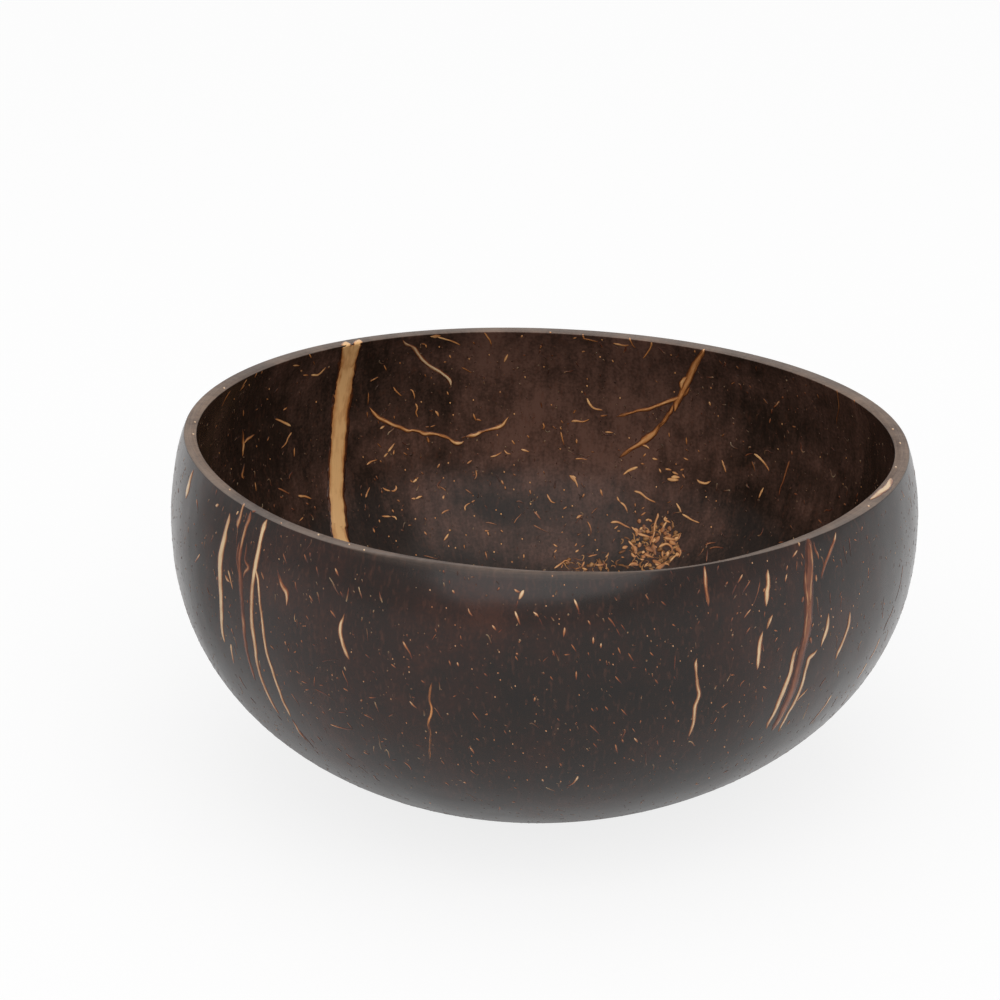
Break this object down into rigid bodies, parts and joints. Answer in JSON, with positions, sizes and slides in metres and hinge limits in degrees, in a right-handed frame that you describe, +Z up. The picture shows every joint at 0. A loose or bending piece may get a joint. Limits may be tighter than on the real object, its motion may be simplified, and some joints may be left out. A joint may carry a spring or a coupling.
{
  "type": "coconut shell bowl",
  "caption": "Round bowl made of half a natural coconut shell, with a level sawn rim, a flat ground foot and fibre strands set in its wall.",
  "frame": {"origin": "middle of the flat ground foot, on the table", "axes": "+Z up out of the open top; -Y towards the front, where the picture was taken from; -X towards the higher side of the rim"},
  "size_m": [0.1243, 0.1243, 0.0602],
  "materials": {
    "shell": "polished satin",
    "pale_fibre": "polished satin",
    "tan_fibre": "polished satin",
    "brown_fibre": "polished satin",
    "orange_fibre": "polished satin"
  },
  "bodies": {
    "root": {"shell": "shell", "inner_broad_strand": "tan_fibre", "inner_forked_strand": "tan_fibre", "inner_arched_strand": "tan_fibre", "inner_wavy_strand": "pale_fibre", "inner_side_strand": "tan_fibre", "inner_fibre_patch": "tan_fibre", "rim_strand": "pale_fibre", "left_edge_strand": "pale_fibre", "left_pale_strand": "pale_fibre", "left_brown_strand": "brown_fibre", "left_forked_strand": "pale_fibre", "left_short_strand": "orange_fibre", "front_left_strand": "pale_fibre", "front_low_strand": "tan_fibre", "front_right_strand": "pale_fibre", "front_orange_strand": "orange_fibre", "right_upper_strand": "pale_fibre", "right_lower_strand": "pale_fibre", "right_brown_strand": "brown_fibre", "right_near_flank_strand": "pale_fibre", "right_far_flank_strand": "pale_fibre", "right_rim_strand": "orange_fibre", "right_short_strand": "pale_fibre", "right_edge_strand": "pale_fibre"}
  },
  "joints": []
}
